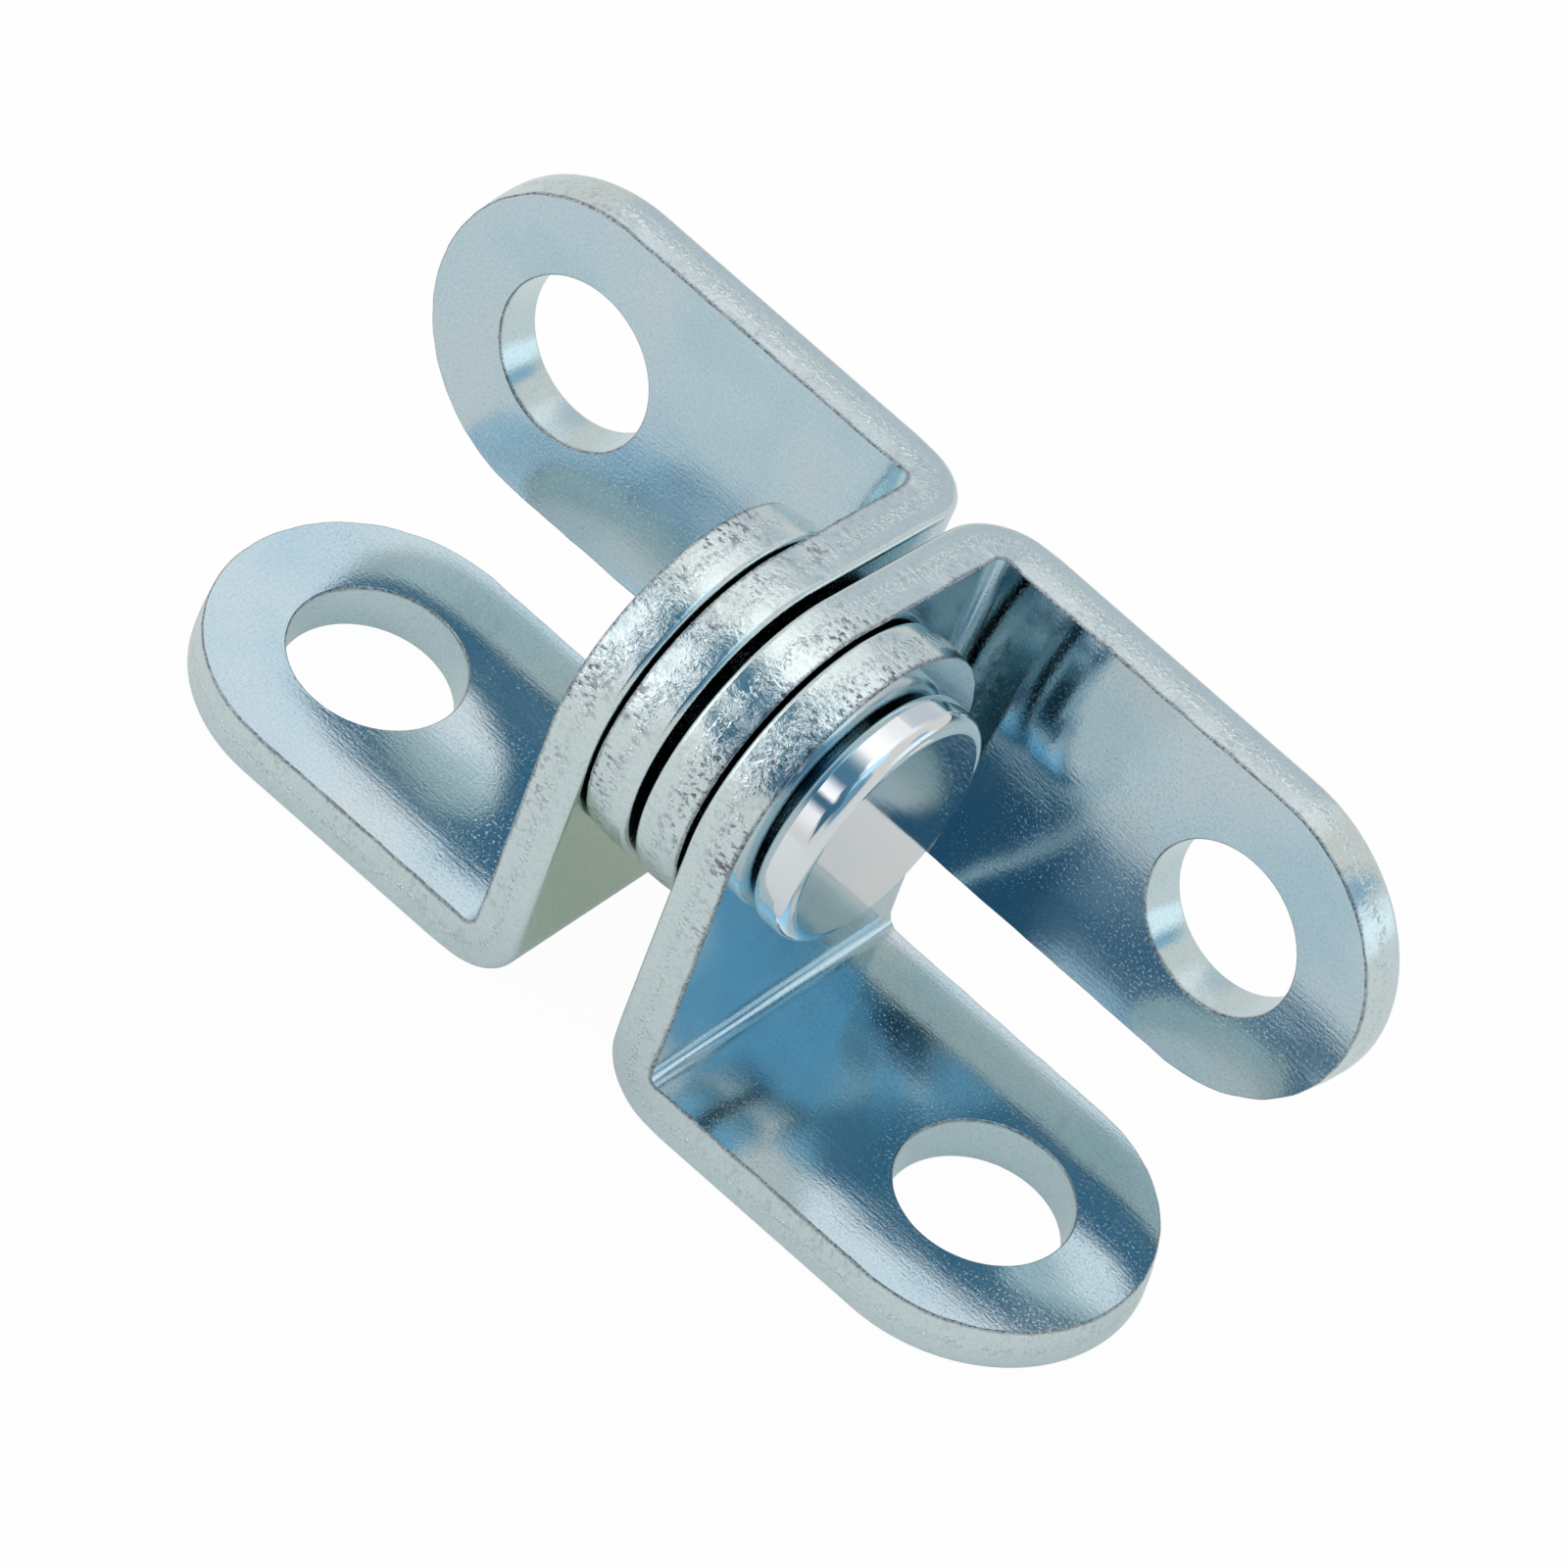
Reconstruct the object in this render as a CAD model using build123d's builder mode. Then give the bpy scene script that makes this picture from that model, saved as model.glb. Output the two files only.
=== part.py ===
"""Corner hinge: four folded strip leaves that turn on one headed rivet."""

import os

from build123d import *

# Strip
sheet = 2.0  # thickness of the steel strip
strip_width = 13.0  # eye and leg are one strip of constant width
bend_inside = 0.5  # inside radius of the fold
roll_over = 0.3  # width of the edge that punching rolls off the outer skin

# Leaf
outer_height = 12.9  # rivet axis to the outer face of an outer leaf's leg
inner_height = 9.8  # the same on an inner leaf, whose leg lies closer to the eyes
outer_reach = 15.0  # middle of the stack to the screw hole of an outer leaf
inner_reach = 15.9  # the same on an inner leaf
rest_angle = 83.0  # between ground-side and wall-side legs, swung almost shut
screw_hole_diameter = 6.5

# Stack
middle_gap = 0.4  # between the two inner leaves
nest_gap = 0.16  # between an inner leaf and the outer leaf nested in it
end_play = 0.15  # between the front outer leaf and the rivet head

# Rivet
shank_diameter = 6.0
running_clearance = 0.05  # radial, between the shank and an eye
head_diameter = 10.2
head_thickness = 1.75
head_front_edge = 0.6
head_back_edge = 0.45
formed_diameter = 8.4  # the upset end behind the stack
formed_thickness = 0.9
formed_edge = 0.6

# Places that follow from the sizes above
strip_radius = strip_width / 2
inner_skin = middle_gap / 2  # stack middle to the outer skin of an inner leaf
outer_skin = inner_skin + sheet + nest_gap  # stack middle to the outer skin of an outer leaf
stack_end = outer_skin + sheet  # stack middle to the open face of an outer leaf
head_seat = stack_end + end_play

# Directions, and the point where the rivet axis meets the middle of the stack
center = Vector(0, 0, outer_height)
rear = Vector(-1, 0, 0)
front = Vector(1, 0, 0)
ground_side = Vector(0, 0, -1)
wall_side = ground_side.rotate(Axis.X, rest_angle)

os.makedirs("parts", exist_ok=True)


def make_leaf(label, leg_direction, leg_side, skin, height, hole_distance):
    """Fold one leaf: a round eye on the rivet, and a leg that runs off along the rivet axis."""
    across = leg_side.cross(leg_direction)
    fold_view = Plane(center, x_dir=leg_direction, z_dir=across)
    eye_view = Plane(center, x_dir=leg_side, z_dir=-leg_direction)
    leg_view = Plane(center, x_dir=leg_direction, z_dir=-leg_side)
    hole_view = Plane(center + leg_direction * hole_distance, x_dir=leg_direction, z_dir=-leg_side)
    eye_middle = skin + sheet / 2
    leg_middle = height - sheet / 2
    tip = hole_distance + strip_radius

    with BuildPart() as leaf:
        # L-shaped section of the strip, pulled out to its width
        with BuildSketch(fold_view):
            with BuildLine():
                FilletPolyline(
                    (eye_middle, strip_radius),
                    (eye_middle, -leg_middle),
                    (tip, -leg_middle),
                    radius=bend_inside + sheet / 2,
                )
            trace(line_width=sheet)
        extrude(amount=strip_radius, both=True)

        # Full-round eye, seen along the rivet
        with BuildSketch(eye_view):
            Circle(strip_radius)
            Rectangle(height, strip_width, align=(Align.MIN, Align.CENTER))
        extrude(amount=-tip, mode=Mode.INTERSECT)

        # Full-round leg end, seen from inside the fold
        with BuildSketch(leg_view):
            Rectangle(hole_distance, strip_width, align=(Align.MIN, Align.CENTER))
            with Locations((hole_distance, 0)):
                Circle(strip_radius)
        extrude(amount=height, both=True, mode=Mode.INTERSECT)

        # Rolled edge round the outer skin, from the eye over the fold to the leg end
        outward = (leg_side - leg_direction).normalized()
        skin_faces = leaf.faces().filter_by(lambda face: face.normal_at().dot(outward) > 0.5)
        rim = skin_faces.edges().filter_by(Axis(center, across), reverse=True)
        chamfer(rim, length=roll_over)

        # Rivet bore and screw hole
        with Locations(eye_view):
            Hole(shank_diameter / 2 + running_clearance)
        with Locations(hole_view):
            Hole(screw_hole_diameter / 2)
    leaf.part.label = label
    export_step(leaf.part, f"parts/{label}.step")


make_leaf("rear_outer_leaf", rear, ground_side, outer_skin, outer_height, outer_reach)
make_leaf("rear_inner_leaf", rear, wall_side, inner_skin, inner_height, inner_reach)
make_leaf("front_inner_leaf", front, wall_side, inner_skin, inner_height, inner_reach)
make_leaf("front_outer_leaf", front, ground_side, outer_skin, outer_height, outer_reach)

with BuildPart() as rivet:
    # Half section above the axis: formed end on the rear leaf, shank, head in front
    with BuildSketch(Plane(center, x_dir=front, z_dir=ground_side.cross(front))):
        with BuildLine():
            Polyline(
                (-stack_end - formed_thickness, 0),
                (-stack_end - formed_thickness, formed_diameter / 2),
                (-stack_end, formed_diameter / 2),
                (-stack_end, shank_diameter / 2),
                (head_seat, shank_diameter / 2),
                (head_seat, head_diameter / 2),
                (head_seat + head_thickness, head_diameter / 2),
                (head_seat + head_thickness, 0),
                close=True,
            )
        make_face()
    revolve(axis=Axis(center, front))

    # Rounded rims: formed end, back of the head, polished face of the head
    rims = rivet.edges().filter_by(GeomType.CIRCLE).group_by(Axis.X)
    fillet(rims[0], radius=formed_edge)
    fillet(rims[-2].sort_by(SortBy.RADIUS)[-1:], radius=head_back_edge)
    fillet(rims[-1], radius=head_front_edge)
rivet.part.label = "rivet"
export_step(rivet.part, "parts/rivet.step")
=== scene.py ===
from math import atan2, cos, hypot, radians, sin

import bmesh
import bpy
from mathutils import Matrix, Vector, noise


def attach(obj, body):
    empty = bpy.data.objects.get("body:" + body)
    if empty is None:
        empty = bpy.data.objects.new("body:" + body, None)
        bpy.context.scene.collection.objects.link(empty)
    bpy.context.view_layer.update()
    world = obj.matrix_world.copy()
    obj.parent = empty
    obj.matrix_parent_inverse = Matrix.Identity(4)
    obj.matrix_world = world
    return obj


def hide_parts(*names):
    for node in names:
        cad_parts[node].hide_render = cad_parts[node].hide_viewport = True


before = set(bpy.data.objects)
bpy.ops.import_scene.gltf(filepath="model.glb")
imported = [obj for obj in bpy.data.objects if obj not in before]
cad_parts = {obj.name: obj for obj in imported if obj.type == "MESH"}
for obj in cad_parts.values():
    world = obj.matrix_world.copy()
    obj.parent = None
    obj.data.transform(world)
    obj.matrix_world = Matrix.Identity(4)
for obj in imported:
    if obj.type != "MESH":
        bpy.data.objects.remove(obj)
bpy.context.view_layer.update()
mm = 0.001
quarterTurn = radians(90)
print("frame loaded, nodes:", ", ".join(sorted(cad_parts)))


# small helpers for nodes and for selecting by place

def newMaterial(name, metallic):
    material = bpy.data.materials.new(name)
    material.use_nodes = True
    shader = material.node_tree.nodes["Principled BSDF"]
    shader.inputs["Metallic"].default_value = metallic
    return material, material.node_tree, shader


def setInput(tree, socket, value):
    # numbers and colours go on the socket itself, another node's output is linked to it
    if isinstance(value, (int, float)):
        socket.default_value = value
    elif isinstance(value, tuple):
        socket.default_value = (*value, 1)
    else:
        tree.links.new(value, socket)


def readAttribute(tree, name, output="Fac"):
    node = tree.nodes.new("ShaderNodeAttribute")
    node.attribute_name = name
    return node.outputs[output]


def splitPlace(tree, place):
    node = tree.nodes.new("ShaderNodeSeparateXYZ")
    tree.links.new(place, node.inputs["Vector"])
    return node.outputs


def addRamp(tree, source, stops):
    node = tree.nodes.new("ShaderNodeValToRGB")
    elements = node.color_ramp.elements
    while len(elements) < len(stops):
        elements.new(0.5)
    for element, (place, colour) in zip(elements, stops):
        element.position = place
        element.color = (*colour, 1)
    tree.links.new(source, node.inputs["Fac"])
    return node.outputs["Color"]


def addRange(tree, source, fromLow, fromHigh, toLow, toHigh, blend="LINEAR"):
    node = tree.nodes.new("ShaderNodeMapRange")
    node.interpolation_type = blend
    limits = {"From Min": fromLow, "From Max": fromHigh, "To Min": toLow, "To Max": toHigh}
    for key, value in limits.items():
        setInput(tree, node.inputs[key], value)
    tree.links.new(source, node.inputs["Value"])
    return node.outputs["Result"]


def addSoft(tree, source, full, none):
    # one up to the first value, then softly down to zero at the second
    return addRange(tree, source, full, none, 1.0, 0.0, "SMOOTHSTEP")


def addMath(tree, operation, first, second=0.0):
    node = tree.nodes.new("ShaderNodeMath")
    node.operation = operation
    setInput(tree, node.inputs[0], first)
    setInput(tree, node.inputs[1], second)
    return node.outputs["Value"]


def addSum(tree, total, *terms):
    for term in terms:
        total = addMath(tree, "ADD", total, term)
    return total


def addProduct(tree, product, *factors):
    for factor in factors:
        product = addMath(tree, "MULTIPLY", product, factor)
    return product


def addMix(tree, blend, amount, first, second):
    node = tree.nodes.new("ShaderNodeMix")
    node.data_type = "RGBA"
    node.blend_type = blend
    for place, value in ((0, amount), (6, first), (7, second)):  # sockets of the colour mix
        setInput(tree, node.inputs[place], value)
    return node.outputs[2]


def addNoise(tree, place, stretch, detail=2.0, rough=0.5):
    # stretch is the pattern's frequency, the same on all axes of the place or one for each
    mapping = tree.nodes.new("ShaderNodeMapping")
    mapping.inputs["Scale"].default_value = stretch if isinstance(stretch, tuple) else (stretch,) * 3
    tree.links.new(place, mapping.inputs["Vector"])
    node = tree.nodes.new("ShaderNodeTexNoise")
    node.inputs["Scale"].default_value = 1.0
    node.inputs["Detail"].default_value = detail
    node.inputs["Roughness"].default_value = rough
    tree.links.new(mapping.outputs["Vector"], node.inputs["Vector"])
    return node.outputs["Fac"]


def addBump(tree, shader, height, strength=1.0, distance=mm):
    bump = tree.nodes.new("ShaderNodeBump")
    bump.inputs["Strength"].default_value = strength
    bump.inputs["Distance"].default_value = distance
    tree.links.new(height, bump.inputs["Height"])
    tree.links.new(bump.outputs["Normal"], shader.inputs["Normal"])


def selectWhere(test, kind="verts"):
    # selects the parts of the mesh in edit mode that pass the test
    mesh = bmesh.from_edit_mesh(bpy.context.object.data)
    bpy.ops.mesh.select_all(action="DESELECT")
    for part in getattr(mesh, kind):
        if not part.hide and test(part):
            part.select_set(True)
    if kind == "verts":
        mesh.select_flush(True)
    bmesh.update_edit_mesh(bpy.context.object.data)


def clamp(value):
    return min(1.0, max(0.0, value))


# zinc skin of the leaves: blue-white plating with soft clouds, rolling lines and a fine grain
zincSkin = {
    "blue": (0.535, 0.710, 0.785),
    "light": (0.625, 0.765, 0.815),
    "grey": (0.690, 0.775, 0.790),
    "toneStops": (0.32, 0.50, 0.68),  # values of the clouds that are blue, light and grey
    "outside": (0.690, 0.840, 0.680),  # behind an outer leaf's eye the skin is more olive
    "outsideDepth": (0.2, 0.6),  # the outer skin's own tones fade out in the sheet, in mm
    "paintedShade": (0.030, 0.040, 0.045),  # painted shade between the eyes
    "paintedShadeShare": 0.9,
    "covered": (6.0, 6.5),  # an eye is painted dark as shade up to this distance from the rivet axis, in mm
    "spread": 80.0,  # from one leaf's pattern to the next, in mm
    "cloud": 0.16,  # clouds per mm
    "grain": 8.0,  # grain per mm
    "grainTone": (0.82, 0.85, 0.87),  # the grain's low spots are darker
    "grainStops": (0.3, 0.64),
    "lines": (0.35, 7.0, 0.5),  # rolling lines per mm; they run along the strip
    "wave": 0.22,  # slow waves per mm
    "depths": (0.055, 0.0034, 0.0022),  # heights of waves, grain and lines in mm
    "specks": (9.0, 0.0024, 0.26),  # raised specks per mm, their height, and how much duller they are
    "speckStops": (0.62, 0.72),
    "drifts": (0.40, 0.60, 0.2),  # the specks thicken between these values of the waves, from this share
    "crown": (2.8, 0.055),  # the skin falls off toward the outline: over how many mm, and how far
    "smooth": 0.06,  # roughness of the smoothest and the dullest plating
    "dull": 0.11,
    "dullStops": (0.35, 0.65),
}


def makeZincSkin():
    material, tree, shader = newMaterial("zincSkin", 1.0)
    place = readAttribute(tree, "sheetPlace", "Vector")
    x, y, z = splitPlace(tree, place)
    cloud = addNoise(tree, place, zincSkin["cloud"], detail=3.0)
    grain = addNoise(tree, place, zincSkin["grain"], detail=3.0, rough=0.6)
    lines = addNoise(tree, place, zincSkin["lines"])
    wave = addNoise(tree, place, zincSkin["wave"], detail=1.0)

    # clouds, and the olive tone of an outer leaf's neck
    tones = zincSkin["blue"], zincSkin["light"], zincSkin["grey"]
    colour = addRamp(tree, cloud, list(zip(zincSkin["toneStops"], tones)))
    outside = addRange(tree, z, *zincSkin["outsideDepth"], 1.0, 0.0)
    olive = addProduct(tree, outside, readAttribute(tree, "olive"))
    colour = addMix(tree, "MIX", olive, colour, zincSkin["outside"])

    # painted shade on the round part of an eye, which the next eye covers at every pose
    halfSpread = zincSkin["spread"] / 2
    along = addMath(tree, "FLOORED_MODULO", addSum(tree, x, halfSpread), zincSkin["spread"])
    along = addMath(tree, "SUBTRACT", along, halfSpread)
    fromAxis = addSum(tree, addProduct(tree, along, along), addProduct(tree, y, y))
    covered = addSoft(tree, addMath(tree, "SQRT", fromAxis), *zincSkin["covered"])
    # painted shade between the eyes, on the outer skin only
    paintedShade = addProduct(tree, outside, covered, zincSkin["paintedShadeShare"])
    colour = addMix(tree, "MIX", paintedShade, colour, zincSkin["paintedShade"])
    tones = zincSkin["grainTone"], (1.0, 1.0, 1.0)
    shade = addRamp(tree, grain, list(zip(zincSkin["grainStops"], tones)))
    tree.links.new(addMix(tree, "MULTIPLY", 1.0, colour, shade), shader.inputs["Base Color"])

    # specks in drifts, duller than the plating round them
    perMm, speckHeight, speckRough = zincSkin["specks"]
    thin, thick, leastShare = zincSkin["drifts"]
    speck = addRange(tree, addNoise(tree, place, perMm, detail=1.0), *zincSkin["speckStops"], 0.0, 1.0)
    speck = addProduct(tree, speck, addRange(tree, wave, thin, thick, leastShare, 1.0))
    dull = addProduct(tree, addSum(tree, cloud, lines), 0.5)
    rough = addRange(tree, dull, *zincSkin["dullStops"], zincSkin["smooth"], zincSkin["dull"])
    rough = addSum(tree, rough, addProduct(tree, speck, speckRough))
    tree.links.new(rough, shader.inputs["Roughness"])

    # relief
    waveHeight, grainHeight, lineHeight = zincSkin["depths"]
    crownWidth, crownFall = zincSkin["crown"]
    fall = addRange(tree, readAttribute(tree, "fromRim"), 0.0, crownWidth, 1.0, 0.0)
    height = addSum(
        tree,
        addProduct(tree, wave, waveHeight),
        addProduct(tree, grain, grainHeight),
        addProduct(tree, lines, lineHeight),
        addProduct(tree, speck, speckHeight),
        addProduct(tree, addMath(tree, "POWER", fall, 2.0), -crownFall),
    )
    addBump(tree, shader, height)
    return material


# sheared edge of the strip: paler and speckled, on the eyes torn with dark streaks through the sheet
shearedZinc = {
    "pale": (0.715, 0.810, 0.805),
    "grey": (0.615, 0.710, 0.710),
    "toneStops": (0.34, 0.52),  # values of the grain that are grey and pale
    # dark of the cracks, and of the painted shadow line along the burr
    "dark": (0.130, 0.150, 0.180),
    "paintedHoleShade": (0.930, 0.985, 1.000),  # painted shade: the holes' walls are a little darker
    "holeStops": (0.05, 0.15),  # a wall less coarse than this is a hole's
    "streak": (4.4, 4.4, 2.8),  # tears per mm along, across and through the sheet
    "uneven": 0.8,  # how far the streaks shift the depth at which it tears, in mm
    "tearDepth": (0.7, 1.9),  # the tearing grows over this depth, in mm
    "tearShare": 0.2,  # share of the tearing above it
    "patch": 0.45,  # torn patches per mm
    "patchStops": (0.40, 0.60),
    "patchShare": 0.15,  # share of the tearing outside the patches
    "crackStops": (0.37, 0.47),  # values of the streaks that are cracked and whole
    "grain": 9.0,
    "depths": (0.070, 0.006, 0.032),  # heights of tears, grain and sparkles in mm
    "sparkle": (6.0, 1.0, 0.4),  # sparkles per mm, and the depth and half width of their band
    "sparkleStops": (0.52, 0.66),
    "sparkleCoarse": (0.1, 0.25),  # none on the holes' walls
    "smooth": 0.11,
    "torn": 0.18,
    "burrShadowLine": (1.82, 1.94),  # depth at which the painted shadow line along the burr starts, and is full
    "burrShadowWander": 0.2,  # how far that line strays, in mm
    "burrShadowBreaks": (0.35, 0.60, 0.45),  # it thins between these values of the grain, to this share
}


def makeShearedZinc():
    material, tree, shader = newMaterial("shearedZinc", 1.0)
    place = readAttribute(tree, "sheetPlace", "Vector")
    depth = splitPlace(tree, place)["Z"]
    coarse = readAttribute(tree, "coarse")
    streak = addNoise(tree, place, shearedZinc["streak"], detail=3.0, rough=0.6)
    patch = addNoise(tree, place, shearedZinc["patch"])
    grain = addNoise(tree, place, shearedZinc["grain"], detail=3.0, rough=0.65)
    tones = shearedZinc["grey"], shearedZinc["pale"]
    colour = addRamp(tree, grain, list(zip(shearedZinc["toneStops"], tones)))

    # tears with dark cracks, in patches and deep in the sheet
    through = addSum(tree, depth, addProduct(tree, streak, shearedZinc["uneven"]))
    tear = addRange(tree, through, *shearedZinc["tearDepth"], shearedZinc["tearShare"], 1.0)
    torn = addRange(tree, patch, *shearedZinc["patchStops"], shearedZinc["patchShare"], 1.0)
    tear = addProduct(tree, tear, coarse, torn)
    crack = addProduct(tree, addRange(tree, streak, *shearedZinc["crackStops"], 1.0, 0.0), tear)
    colour = addMix(tree, "MIX", crack, colour, shearedZinc["dark"])

    # broken painted shadow line along the burr
    wander = addProduct(tree, addMath(tree, "SUBTRACT", patch, 0.5), shearedZinc["burrShadowWander"])
    burrShadow = addRange(tree, addSum(tree, depth, wander), *shearedZinc["burrShadowLine"], 0.0, 1.0)
    whole, thin, leastShare = shearedZinc["burrShadowBreaks"]
    burrShadow = addProduct(tree, burrShadow, addRange(tree, grain, whole, thin, 1.0, leastShare))
    colour = addMix(tree, "MIX", burrShadow, colour, shearedZinc["dark"])
    # painted shade on the holes' walls
    paintedHoleShade = addRange(tree, coarse, *shearedZinc["holeStops"], 1.0, 0.0)
    colour = addMix(tree, "MULTIPLY", paintedHoleShade, colour, shearedZinc["paintedHoleShade"])
    tree.links.new(colour, shader.inputs["Base Color"])
    rough = addRange(tree, tear, 0.0, 1.0, shearedZinc["smooth"], shearedZinc["torn"])
    tree.links.new(rough, shader.inputs["Roughness"])

    # sparkles in a band along the middle of the edge
    perMm, middle, halfWide = shearedZinc["sparkle"]
    off = addMath(tree, "ABSOLUTE", addMath(tree, "SUBTRACT", depth, middle))
    spots = addRange(tree, addNoise(tree, place, perMm, detail=1.0), *shearedZinc["sparkleStops"], 0.0, 1.0)
    onEdge = addRange(tree, coarse, *shearedZinc["sparkleCoarse"], 0.0, 1.0)
    sparkle = addProduct(tree, addSoft(tree, off, 0.0, halfWide), spots, onEdge)

    # relief
    tearHeight, grainHeight, sparkleHeight = shearedZinc["depths"]
    height = addSum(
        tree,
        addProduct(tree, streak, tear, tearHeight),
        addProduct(tree, grain, grainHeight),
        addProduct(tree, sparkle, sparkleHeight),
    )
    addBump(tree, shader, height)
    return material


# polished zinc of the rivet
rivetZinc = {
    "blue": (0.800, 0.840, 0.850),
    "light": (0.865, 0.880, 0.875),
    "stops": (0.35, 0.65),  # values of the clouds that are blue and smooth, and light and dull
    "cloud": 250.0,  # clouds per metre
    "grain": 6000.0,  # grain per metre
    "bump": (0.03, 0.02 * mm),  # strength and height of the grain
    "smooth": 0.05,
    "dull": 0.11,
}


def makeRivetZinc():
    material, tree, shader = newMaterial("rivetZinc", 1.0)
    place = tree.nodes.new("ShaderNodeTexCoord").outputs["Object"]
    cloud = addNoise(tree, place, rivetZinc["cloud"], detail=3.0)
    grain = addNoise(tree, place, rivetZinc["grain"])
    colour = addRamp(tree, cloud, list(zip(rivetZinc["stops"], (rivetZinc["blue"], rivetZinc["light"]))))
    tree.links.new(colour, shader.inputs["Base Color"])
    rough = addRange(tree, cloud, *rivetZinc["stops"], rivetZinc["smooth"], rivetZinc["dull"])
    tree.links.new(rough, shader.inputs["Roughness"])
    addBump(tree, shader, grain, *rivetZinc["bump"])
    return material


skinMaterial = makeZincSkin()
edgeMaterial = makeShearedZinc()
rivetMaterial = makeRivetZinc()
print("materials made")


# sizes that the four leaves share, as in the CAD, and the wear of their edges
strip = {
    "sheet": 2.0 * mm,
    "half": 6.5 * mm,  # half the strip's width, and the radius of eye and leg end
    "axisHeight": 12.9 * mm,  # rivet axis above the ground
    "foldOuter": 2.5 * mm,
    "foldSteps": 16,
    "bore": 3.05 * mm,
    "screw": 3.25 * mm,
    "ring": 4.8 * mm,  # ring of faces round each hole
    "ringSides": 144,
    "sideShare": 2 / 3,  # of the ring's inner half, the share that goes to the straight sides
    "nearHole": 1.15,  # what lies within this many radii of a hole belongs to it
    "rimCuts": 3,  # cuts through the thickness of the sheared edge
    "rolled": (0.26 * mm, 5),  # rounding that the punch leaves on the outer skin, and its steps
    "rolledHole": (0.15 * mm, 3),
    "burr": (0.05 * mm, 2),  # crisp edge on the inner skin
    "tornFrom": 0.9 * mm,  # depth at which the sheared edge tears
    "torn": 0.10 * mm,  # how far the torn band draws in
    "ragged": 0.03 * mm,
    "raggedHole": 0.008 * mm,
    "ragWaves": ((1.3, 1.0), (3.1, 0.5)),  # ragged waves per mm, and their strength
    "ragSlice": 3 * mm,  # layer of the noise that they follow
    "pinch": 0.10 * mm,  # the fold swells at its inner corner and draws in outside
    "pinchTurn": 0.6,  # share of the thickness at which the one turns into the other
    "pinchFrom": 0.6,  # share of the half width from which the fold is pinched
    "pinchReach": 2.6 * mm,  # either way along the strip
    "coarseHole": 0.05,  # how badly the sheared edge is torn in the holes, on the leg and on the eye
    "coarseLeg": 0.25,
    "coarseEye": 1.0,
    "eyeFade": (1.1, 0.7),  # the eye's share at the rivet axis, and half widths in which it drops by one
    "crownFade": (0.5, 1.2),  # share left off the crown at mid-strip, and how it grows to the far side
    "crownOff": 4.0,  # mm added to the distance from the outline where the crown is left off
}

# each leaf: outer skin from the stack's middle, rivet axis above the leg, screw hole from the stack's
# middle, and its turns about the rivet and end for end in degrees
leaves = {
    "rearOuterLeaf": {
        "node": "rear_outer_leaf", "body": "rear_ground", "olive": True,
        "skin": 2.36 * mm, "height": 12.9 * mm, "reach": 15.0 * mm, "turn": (0, 180),
    },
    "rearInnerLeaf": {
        "node": "rear_inner_leaf", "body": "rear_wall", "olive": False,
        "skin": 0.2 * mm, "height": 9.8 * mm, "reach": 15.9 * mm, "turn": (83, 180),
    },
    "frontInnerLeaf": {
        "node": "front_inner_leaf", "body": "front_wall", "olive": False,
        "skin": 0.2 * mm, "height": 9.8 * mm, "reach": 15.9 * mm, "turn": (83, 0),
    },
    "frontOuterLeaf": {
        "node": "front_outer_leaf", "body": "front_ground", "olive": True,
        "skin": 2.36 * mm, "height": 12.9 * mm, "reach": 15.0 * mm, "turn": (0, 0),
    },
}


def unrolled(co, leaf):
    # place in the flat sheet: along the strip from the rivet, across it, and in from the outer skin
    fold = strip["foldOuter"]
    foldX, foldZ = leaf["skin"] + fold, fold
    arm = leaf["height"] - foldZ
    if co.z >= foldZ and co.x <= foldX:
        return leaf["height"] - co.z, co.y, co.x - leaf["skin"]
    if co.x >= foldX:
        return arm + fold * quarterTurn + co.x - foldX, co.y, co.z
    sweep = atan2(foldZ - co.z, foldX - co.x)
    return arm + fold * sweep, co.y, fold - hypot(co.x - foldX, co.z - foldZ)


def nearestHole(co, leaf):
    # name of the hole whose wall or border a point is on, if any
    onLeg, onEye = co.z < strip["foldOuter"], co.x < leaf["skin"] + strip["foldOuter"]
    if onLeg and hypot(co.x - leaf["reach"], co.y) < strip["screw"] * strip["nearHole"]:
        return "screw"
    if onEye and hypot(co.z - leaf["height"], co.y) < strip["bore"] * strip["nearHole"]:
        return "bore"
    return None


def outlinePlace(angle, run):
    # point of the outline toward the round end and across the strip, for a ring's point at this angle
    if abs(angle) <= radians(90.1):  # a hair past the quarter, for rounding
        return strip["half"] * cos(angle), strip["half"] * sin(angle)
    share = (abs(angle) - quarterTurn) / quarterTurn
    side = 1 if angle > 0 else -1
    if share <= strip["sideShare"]:
        return -run * share / strip["sideShare"], strip["half"] * side
    return -run, strip["half"] * side * (1 - share) / (1 - strip["sideShare"])


def growFromHole(piece, radius, center, toEnd, run):
    # from the hole's circle, still selected, a ring of faces and then out to round end, sides and fold
    grow = strip["ring"] / radius
    bpy.ops.mesh.extrude_edges_move()
    bpy.ops.transform.resize(value=(grow, grow, grow), center_override=center)
    bpy.ops.mesh.extrude_edges_move()
    mesh = bmesh.from_edit_mesh(piece.data)
    for v in mesh.verts:
        if v.select:
            far, across = outlinePlace(atan2(v.co.y, (v.co - center).dot(toEnd)), run)
            v.co = center + toEnd * far + Vector((0, across, 0))
    bmesh.update_edit_mesh(piece.data)


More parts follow.
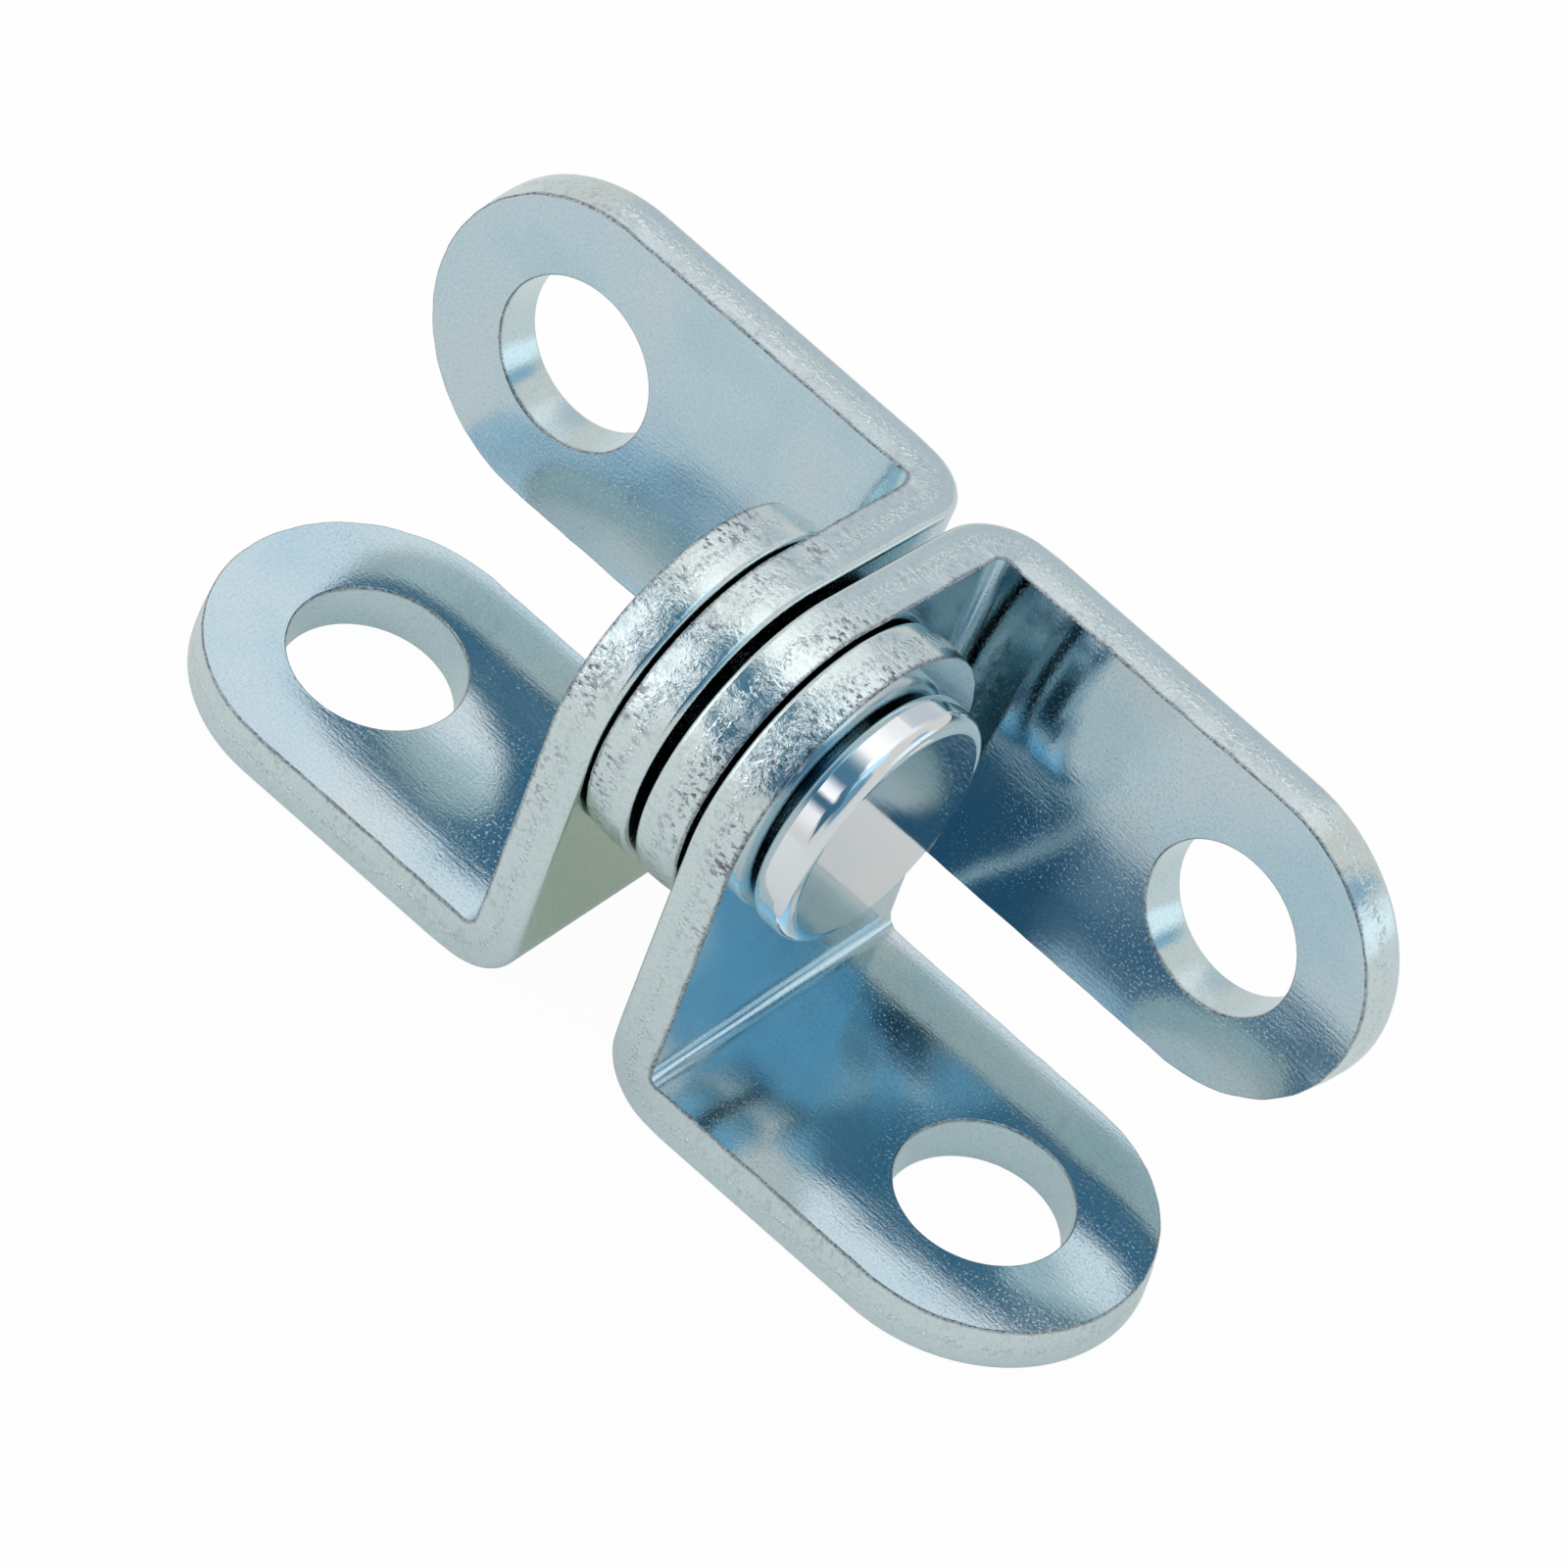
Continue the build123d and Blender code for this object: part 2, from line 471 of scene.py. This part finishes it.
def layOutSheet(name, leaf):
    foldX, foldZ = leaf["skin"] + strip["foldOuter"], strip["foldOuter"]
    screwPlace, rivetPlace = Vector((leaf["reach"], 0, 0)), Vector((leaf["skin"], 0, leaf["height"]))
    tiny = 0.01 * mm  # points closer than this are one

    # leg, round the screw hole
    bpy.ops.object.select_all(action="DESELECT")
    bpy.ops.mesh.primitive_circle_add(
        vertices=strip["ringSides"], radius=strip["screw"], location=screwPlace)
    bpy.ops.object.transform_apply(location=True, rotation=True, scale=True)
    piece = bpy.context.object
    piece.name = piece.data.name = name
    bpy.ops.object.mode_set(mode="EDIT")
    bpy.ops.mesh.select_all(action="SELECT")
    growFromHole(piece, strip["screw"], screwPlace, Vector((1, 0, 0)), leaf["reach"] - foldX)

    # fold: a quarter turn of the line across the strip
    selectWhere(lambda v: abs(v.co.x - foldX) < tiny)
    bpy.ops.mesh.spin(
        steps=strip["foldSteps"], angle=-quarterTurn, center=(foldX, 0, foldZ), axis=(0, 1, 0))

    # eye, round the rivet bore
    bpy.ops.mesh.select_all(action="DESELECT")
    bpy.ops.mesh.primitive_circle_add(
        vertices=strip["ringSides"], radius=strip["bore"], location=rivetPlace, rotation=(0, quarterTurn, 0))
    growFromHole(piece, strip["bore"], rivetPlace, Vector((0, 0, 1)), leaf["height"] - foldZ)

    # one sheet, its faces outward
    bpy.ops.mesh.select_all(action="SELECT")
    bpy.ops.mesh.remove_doubles(threshold=tiny)
    bpy.ops.mesh.normals_make_consistent(inside=False)
    if bmesh.from_edit_mesh(piece.data).faces[0].normal.z > 0:
        bpy.ops.mesh.flip_normals()
    bpy.ops.object.mode_set(mode="OBJECT")
    return piece


def thickenSheet(piece):
    # the sheared edge is the second material
    piece.data.materials.append(skinMaterial)
    piece.data.materials.append(edgeMaterial)
    wall = piece.modifiers.new("wall", "SOLIDIFY")
    wall.thickness = strip["sheet"]
    wall.offset = -1
    wall.use_even_offset = True
    wall.material_offset_rim = 1
    bpy.ops.object.modifier_apply(modifier=wall.name)
    bpy.ops.object.mode_set(mode="EDIT")
    bpy.ops.mesh.select_mode(type="EDGE")
    selectWhere(lambda e: all(f.material_index == 1 for f in e.link_faces), "edges")
    bpy.ops.mesh.subdivide(number_cuts=strip["rimCuts"])


def drawBack(co, leaf):
    # direction into the sheet from a point of the sheared edge, none in the rivet's bore
    fromScrew = Vector((co.x - leaf["reach"], co.y, 0)).normalized()
    hole = nearestHole(co, leaf)
    if hole == "screw":
        return fromScrew
    if hole == "bore":
        return Vector((0, 0, 0))
    if co.x > leaf["reach"]:
        return -fromScrew
    if co.z > leaf["height"]:
        return -Vector((0, co.y, co.z - leaf["height"])).normalized()
    return Vector((0, -1 if co.y > 0 else 1, 0))


def wearEdges(piece, leaf):
    # torn band of the sheared edge, pinched fold
    half, sheet, tornFrom = strip["half"], strip["sheet"], strip["tornFrom"]
    foldMiddle = leaf["height"] - strip["foldOuter"] + strip["foldOuter"] * quarterTurn / 2
    mesh = bmesh.from_edit_mesh(piece.data)
    for v in mesh.verts:
        along, across, depth = unrolled(v.co, leaf)
        if any(f.material_index == 1 for f in v.link_faces):
            tear = max(0.0, (depth - tornFrom) / (sheet - tornFrom))
            spot = Vector((along, across, strip["ragSlice"])) / mm
            wander = sum(strength * noise.noise(spot * perMm) for perMm, strength in strip["ragWaves"])
            ragged = strip["raggedHole" if nearestHole(v.co, leaf) == "screw" else "ragged"]
            v.co += drawBack(v.co, leaf) * tear * (strip["torn"] + ragged * wander)
        near = max(0.0, 1 - ((along - foldMiddle) / strip["pinchReach"]) ** 2)
        near *= max(0.0, (abs(across) / half - strip["pinchFrom"]) / (1 - strip["pinchFrom"])) ** 2
        swell = strip["pinch"] * 2 * (depth / sheet - strip["pinchTurn"])
        v.co.y += swell * near * (1 if v.co.y > 0 else -1)
    bmesh.update_edit_mesh(piece.data)


def roundEdges(piece, leaf):
    # rolled edges outside, crisp ones inside
    def isBorder(edge, outside, hole):
        if {f.material_index for f in edge.link_faces} != {0, 1}:
            return False
        middle = (edge.verts[0].co + edge.verts[1].co) / 2
        if (unrolled(middle, leaf)[2] < strip["sheet"] / 2) != outside:
            return False
        return (nearestHole(middle, leaf) is not None) == hole

    for outside, hole, rounding in (
        (True, False, "rolled"), (True, True, "rolledHole"), (False, False, "burr"), (False, True, "burr"),
    ):
        selectWhere(lambda edge: isBorder(edge, outside, hole), "edges")
        width, steps = strip[rounding]
        bpy.ops.mesh.bevel(
            offset=width, segments=steps, profile=0.5, affect="EDGES", clamp_overlap=False, material=1)
    bpy.ops.mesh.select_mode(type="VERT")
    bpy.ops.object.mode_set(mode="OBJECT")


def markSheet(piece, number, leaf):
    # flat-sheet coordinates in mm for the materials, shifted so that no two leaves match
    half, reach, eyeZ = strip["half"], leaf["reach"], leaf["height"]
    spread = zincSkin["spread"] * number
    foldStart, foldLength = eyeZ - strip["foldOuter"], strip["foldOuter"] * quarterTurn
    eyeShare, eyeFade = strip["eyeFade"]
    crownShare, crownFade = strip["crownFade"]
    farSide = 1 if leaf["turn"][1] == 0 else -1
    places, tears, rims, tones = [], [], [], []
    for v in piece.data.vertices:
        along, across, depth = unrolled(v.co, leaf)
        places += [along / mm + spread, across / mm, depth / mm]
        onEye = clamp(eyeShare - along / (eyeFade * half))
        tear = strip["coarseLeg"] + (strip["coarseEye"] - strip["coarseLeg"]) * onEye
        tears.append(strip["coarseHole"] if nearestHole(v.co, leaf) == "screw" else tear)
        toEnd = hypot(max(0.0, v.co.x - reach), max(0.0, v.co.z - eyeZ))
        flat = clamp(crownShare + crownFade * across / half * farSide)  # no crown on the far side
        rims.append((half - hypot(toEnd, across)) / mm + strip["crownOff"] * flat)
        pastFold = clamp((along - foldStart) / foldLength)
        tones.append(1 - pastFold if leaf["olive"] else 0.0)
    # place in the sheet, how badly the edge is torn, mm in from the outline, share of the olive tone
    piece.data.attributes.new("sheetPlace", "FLOAT_VECTOR", "POINT").data.foreach_set("vector", places)
    for name, values in (("coarse", tears), ("fromRim", rims), ("olive", tones)):
        piece.data.attributes.new(name, "FLOAT", "POINT").data.foreach_set("value", values)


def smoothLeaf(piece):
    # smooth shading that leaves the flats flat: a large face outweighs the narrow ones on its edge
    bpy.ops.object.shade_smooth()
    normals = [Vector((0, 0, 0)) for v in piece.data.vertices]
    for face in piece.data.polygons:
        for corner in face.vertices:
            normals[corner] += face.normal * (face.area / mm ** 2) ** 2
    piece.data.normals_split_custom_set_from_vertices([normal.normalized() for normal in normals])


def placeLeaf(piece, leaf):
    onAxis, endForEnd = leaf["turn"]
    piece.data.transform(
        Matrix.Translation((0, 0, strip["axisHeight"]))
        @ Matrix.Rotation(radians(onAxis), 4, "X")
        @ Matrix.Rotation(radians(endForEnd), 4, "Z")
        @ Matrix.Translation((0, 0, -leaf["height"])))
    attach(piece, leaf["body"])
    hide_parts(leaf["node"])


for number, (name, leaf) in enumerate(leaves.items()):
    piece = layOutSheet(name, leaf)
    thickenSheet(piece)
    wearEdges(piece, leaf)
    roundEdges(piece, leaf)
    markSheet(piece, number, leaf)
    smoothLeaf(piece)
    placeLeaf(piece, leaf)
    print("leaf made:", name, len(piece.data.polygons), "faces")

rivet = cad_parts["rivet"]
rivet.data.materials.clear()
rivet.data.materials.append(rivetMaterial)
print("rivet finished")


# camera at the photograph's viewing angle
cameraSet = {
    "azimuth": 26.736,
    "elevation": 45.714,
    "roll": 21.396,
    "distance": 1250 * mm,
    "lens": 819.61,
    "sensor": 36,
    "clip": (0.01, 10),
    "aside": (-0.8793 * mm, 2.1494 * mm),  # of the rivet's middle, right and up of the picture's
}


def makeCamera():
    turn, lift = radians(cameraSet["azimuth"]), radians(cameraSet["elevation"])
    back = Vector((sin(turn) * cos(lift), -cos(turn) * cos(lift), sin(lift)))
    level = (-back).to_track_quat("-Z", "Y").to_matrix()
    tilt = level @ Matrix.Rotation(radians(cameraSet["roll"]), 3, "Z")
    right, up = tilt.col[0], tilt.col[1]
    camera = bpy.data.objects.new("camera", bpy.data.cameras.new("camera"))
    bpy.context.scene.collection.objects.link(camera)
    middle = Vector((0, 0, strip["axisHeight"]))
    toRight, toTop = cameraSet["aside"]
    camera.location = middle + back * cameraSet["distance"] - right * toRight - up * toTop
    camera.rotation_euler = tilt.to_euler()
    camera.data.lens = cameraSet["lens"]
    camera.data.sensor_width = cameraSet["sensor"]
    camera.data.clip_start, camera.data.clip_end = cameraSet["clip"]
    bpy.context.scene.camera = camera


# pale tent: patches of its wall that are brighter or cooler, and a dark cool gap on the camera's side
studio = {
    "wall": (0.74, 0.725, 0.71),
    "patches": {  # direction, cosines at which a patch begins and is full, and colour
        "back": ((-0.30, 0.50, 0.81), (0.85, 0.97), (0.96, 0.95, 0.97)),
        "backLow": ((-0.30, 0.85, 0.43), (0.93, 0.985), (0.58, 0.62, 0.68)),
        "top": ((-0.10, 0.0, 0.99), (0.90, 0.98), (1.00, 0.98, 0.98)),
        "leftFront": ((-0.60, -0.62, 0.50), (0.80, 0.92), (0.99, 0.99, 1.03)),
        "right": ((0.40, -0.42, 0.81), (0.88, 0.95), (0.54, 0.84, 1.03)),
        "rightTop": ((0.33, -0.10, 0.94), (0.94, 0.985), (0.60, 0.95, 1.22)),
        "rightFront": ((0.72, -0.45, 0.53), (0.88, 0.97), (0.16, 0.33, 0.47)),
        "rightBack": ((0.61, 0.64, 0.47), (0.982, 0.996), (0.30, 0.48, 0.64)),
        "glow": ((0.78, 0.61, 0.12), (0.94, 0.985), (0.95, 1.06, 1.14)),
    },
    "cloudy": "right",  # this patch is mottled with a deeper tone
    "mottle": 8.0,
    "mottleStops": (0.36, 0.62),
    "deep": (0.09, 0.32, 0.47),
    "gapMiddle": (0.0, -0.657, 0.754),
    "gapAcross": (0.602, 0.602, 0.524),  # over the gap's narrow side
    "gapAlong": (0.798, -0.454, -0.396),
    "gapRight": (0.22, 0.34),  # soft edges of the gap
    "gapLeft": (-0.20, -0.08),
    "gapLeftLow": (-0.50, -0.40),  # the gap is wider low down
    "gapLow": (0.56, 0.66),  # heights at which it widens
    "gapEnds": (0.45, 0.68),
    "gapFront": (0.1, 0.4),  # only on the camera's side
    "dim": (0.08, 0.21, 0.31),
    "dark": (0.055, 0.150, 0.240),  # low in the gap
    "darkHeights": (0.55, 0.85),  # from dark to dim
    "floor": (0.96, 0.92, 0.88),
    "floorSize": 4.0,
    "floorDrop": 0.02 * mm,  # below the ground
    "floorRough": 0.9,
    "floorSeen": 0.97,  # part of the floor that shows as plain white
    "floorMirrored": 0.24,  # the same in the metal
}


def makeWorld():
    world = bpy.data.worlds.new("tent")
    bpy.context.scene.world = world
    world.use_nodes = True
    tree = world.node_tree
    background = tree.nodes["Background"]
    way = tree.nodes.new("ShaderNodeTexCoord").outputs["Generated"]

    def toward(direction):
        facing = tree.nodes.new("ShaderNodeVectorMath")
        facing.operation = "DOT_PRODUCT"
        tree.links.new(way, facing.inputs[0])
        facing.inputs[1].default_value = Vector(direction).normalized()
        return facing.outputs["Value"]

    # patches of the wall
    tent = studio["wall"]
    for name, (direction, cosines, colour) in studio["patches"].items():
        share = addMath(tree, "SUBTRACT", 1.0, addSoft(tree, toward(direction), *cosines))
        if name == studio["cloudy"]:
            mottle = addNoise(tree, way, studio["mottle"])
            colour = addRamp(tree, mottle, list(zip(studio["mottleStops"], (studio["deep"], colour))))
        tent = addMix(tree, "MIX", share, tent, colour)

    # gap
    across, height = toward(studio["gapAcross"]), toward((0, 0, 1))
    along = addMath(tree, "ABSOLUTE", toward(studio["gapAlong"]))
    low = addRange(tree, height, *studio["gapLow"], 1.0, 0.0)
    begin, full = (
        addRange(tree, low, 0.0, 1.0, above, below)
        for above, below in zip(studio["gapLeft"], studio["gapLeftLow"]))
    gap = addProduct(
        tree,
        addSoft(tree, across, *studio["gapRight"]),
        addRange(tree, across, begin, full, 0.0, 1.0),
        addSoft(tree, along, *studio["gapEnds"]),
        addRange(tree, toward(studio["gapMiddle"]), *studio["gapFront"], 0.0, 1.0),
    )
    lift = addRange(tree, height, *studio["darkHeights"], 0.0, 1.0)
    tent = addMix(tree, "MIX", gap, tent, addMix(tree, "MIX", lift, studio["dark"], studio["dim"]))

    # plain white behind the hinge
    camera = tree.nodes.new("ShaderNodeLightPath").outputs["Is Camera Ray"]
    tree.links.new(addMix(tree, "MIX", camera, tent, (1.0, 1.0, 1.0)), background.inputs["Color"])
    background.inputs["Strength"].default_value = 1.0


def makeFloor():
    bpy.ops.object.select_all(action="DESELECT")
    bpy.ops.mesh.primitive_plane_add(size=studio["floorSize"], location=(0, 0, -studio["floorDrop"]))
    bpy.ops.object.transform_apply(location=True, rotation=True, scale=True)
    floor = bpy.context.object
    floor.name = "floor"
    material, tree, shader = newMaterial("paleFloor", 0.0)
    shader.inputs["Base Color"].default_value = (*studio["floor"], 1)
    shader.inputs["Roughness"].default_value = studio["floorRough"]
    shader.inputs["Specular IOR Level"].default_value = 0.0
    white = tree.nodes.new("ShaderNodeEmission")
    white.inputs["Strength"].default_value = 1.0
    ray = tree.nodes.new("ShaderNodeLightPath")
    mirrored = addMath(tree, "MAXIMUM", ray.outputs["Is Glossy Ray"], ray.outputs["Is Transmission Ray"])
    mirrored = addProduct(tree, mirrored, studio["floorMirrored"])
    seen = addProduct(tree, ray.outputs["Is Camera Ray"], studio["floorSeen"])
    mix = tree.nodes.new("ShaderNodeMixShader")
    tree.links.new(addMath(tree, "MAXIMUM", seen, mirrored), mix.inputs["Fac"])
    tree.links.new(shader.outputs["BSDF"], mix.inputs[1])
    tree.links.new(white.outputs["Emission"], mix.inputs[2])
    tree.links.new(mix.outputs["Shader"], tree.nodes["Material Output"].inputs["Surface"])
    floor.data.materials.append(material)


# soft lamps: place in metres, width and height, power in watts, and the soft share of each border
# (left, right, bottom, top)
lamps = {
    "leftBox": {
        "place": (-0.158, -0.114, 0.101), "size": (0.214, 0.240), "power": 0.085,
        "soft": (0.5, 0.04, 0.4, 0.4),
    },
    "topLamp": {
        "place": (-0.10, 0.05, 0.80), "size": (0.9, 0.9), "power": 0.9,
        "soft": (0.5, 0.5, 0.5, 0.5),
    },
}


def makeLamps():
    for name, lamp in lamps.items():
        light = bpy.data.lights.new(name, "AREA")
        light.shape = "RECTANGLE"
        light.size, light.size_y = lamp["size"]
        light.energy = lamp["power"]
        light.use_nodes = True
        tree = light.node_tree
        x, y, _ = splitPlace(tree, tree.nodes.new("ShaderNodeNewGeometry").outputs["Parametric"])
        left, right, bottom, top = lamp["soft"]
        fade = addProduct(
            tree,
            addMath(tree, "SUBTRACT", 1.0, addSoft(tree, x, 0.0, left)),
            addSoft(tree, x, 1.0 - right, 1.0),
            addMath(tree, "SUBTRACT", 1.0, addSoft(tree, y, 0.0, bottom)),
            addSoft(tree, y, 1.0 - top, 1.0),
        )
        tree.links.new(fade, tree.nodes["Emission"].inputs["Strength"])
        holder = bpy.data.objects.new(name, light)
        bpy.context.scene.collection.objects.link(holder)
        holder.location = lamp["place"]
        holder.rotation_euler = (-Vector(lamp["place"])).to_track_quat("-Z", "Y").to_euler()
        holder.visible_camera = False  # the lamps stay out of the other views


makeCamera()
makeWorld()
makeFloor()
makeLamps()
bpy.context.scene.view_settings.view_transform = "Standard"
bpy.context.scene.cycles.glossy_bounces = 10  # the leaves mirror one another
print("stage set")
